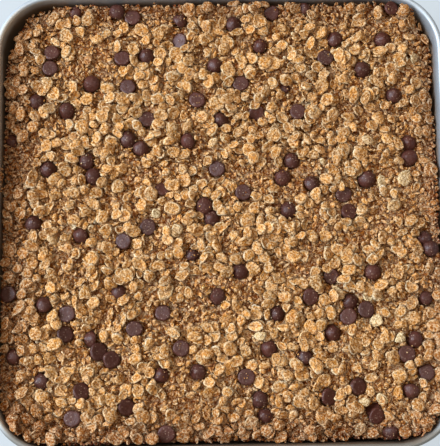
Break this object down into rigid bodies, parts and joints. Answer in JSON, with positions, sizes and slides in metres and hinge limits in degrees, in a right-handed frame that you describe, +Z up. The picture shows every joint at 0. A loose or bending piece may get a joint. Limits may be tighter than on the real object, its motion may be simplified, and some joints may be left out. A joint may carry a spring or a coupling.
{
  "type": "uncut granola bar slab in a baking tin",
  "caption": "Slab of baked oat granola with chocolate drops, not yet cut into bars, in the rounded square metal tin that it was baked in.",
  "frame": {"origin": "middle of the tin's underside, where the tin stands on a surface", "axes": "+Z up out of the open tin, +X along the tin's width, +Y along its length"},
  "size_m": [0.2352, 0.2382, 0.04],
  "materials": {
    "tin_metal": "satin anodised aluminium sheet, light warm grey, with fine rubbing marks and baked-on brown film low on the inside",
    "baked_oats": "matt golden-brown baked oat granola, crumbly, paler at the flakes' rims and browner at the slab's edge",
    "chocolate": "dark chocolate with a soft sheen and a faint violet-grey bloom"
  },
  "bodies": {
    "root": {"tin": "tin_metal", "granola_slab": "baked_oats"}
  },
  "joints": []
}
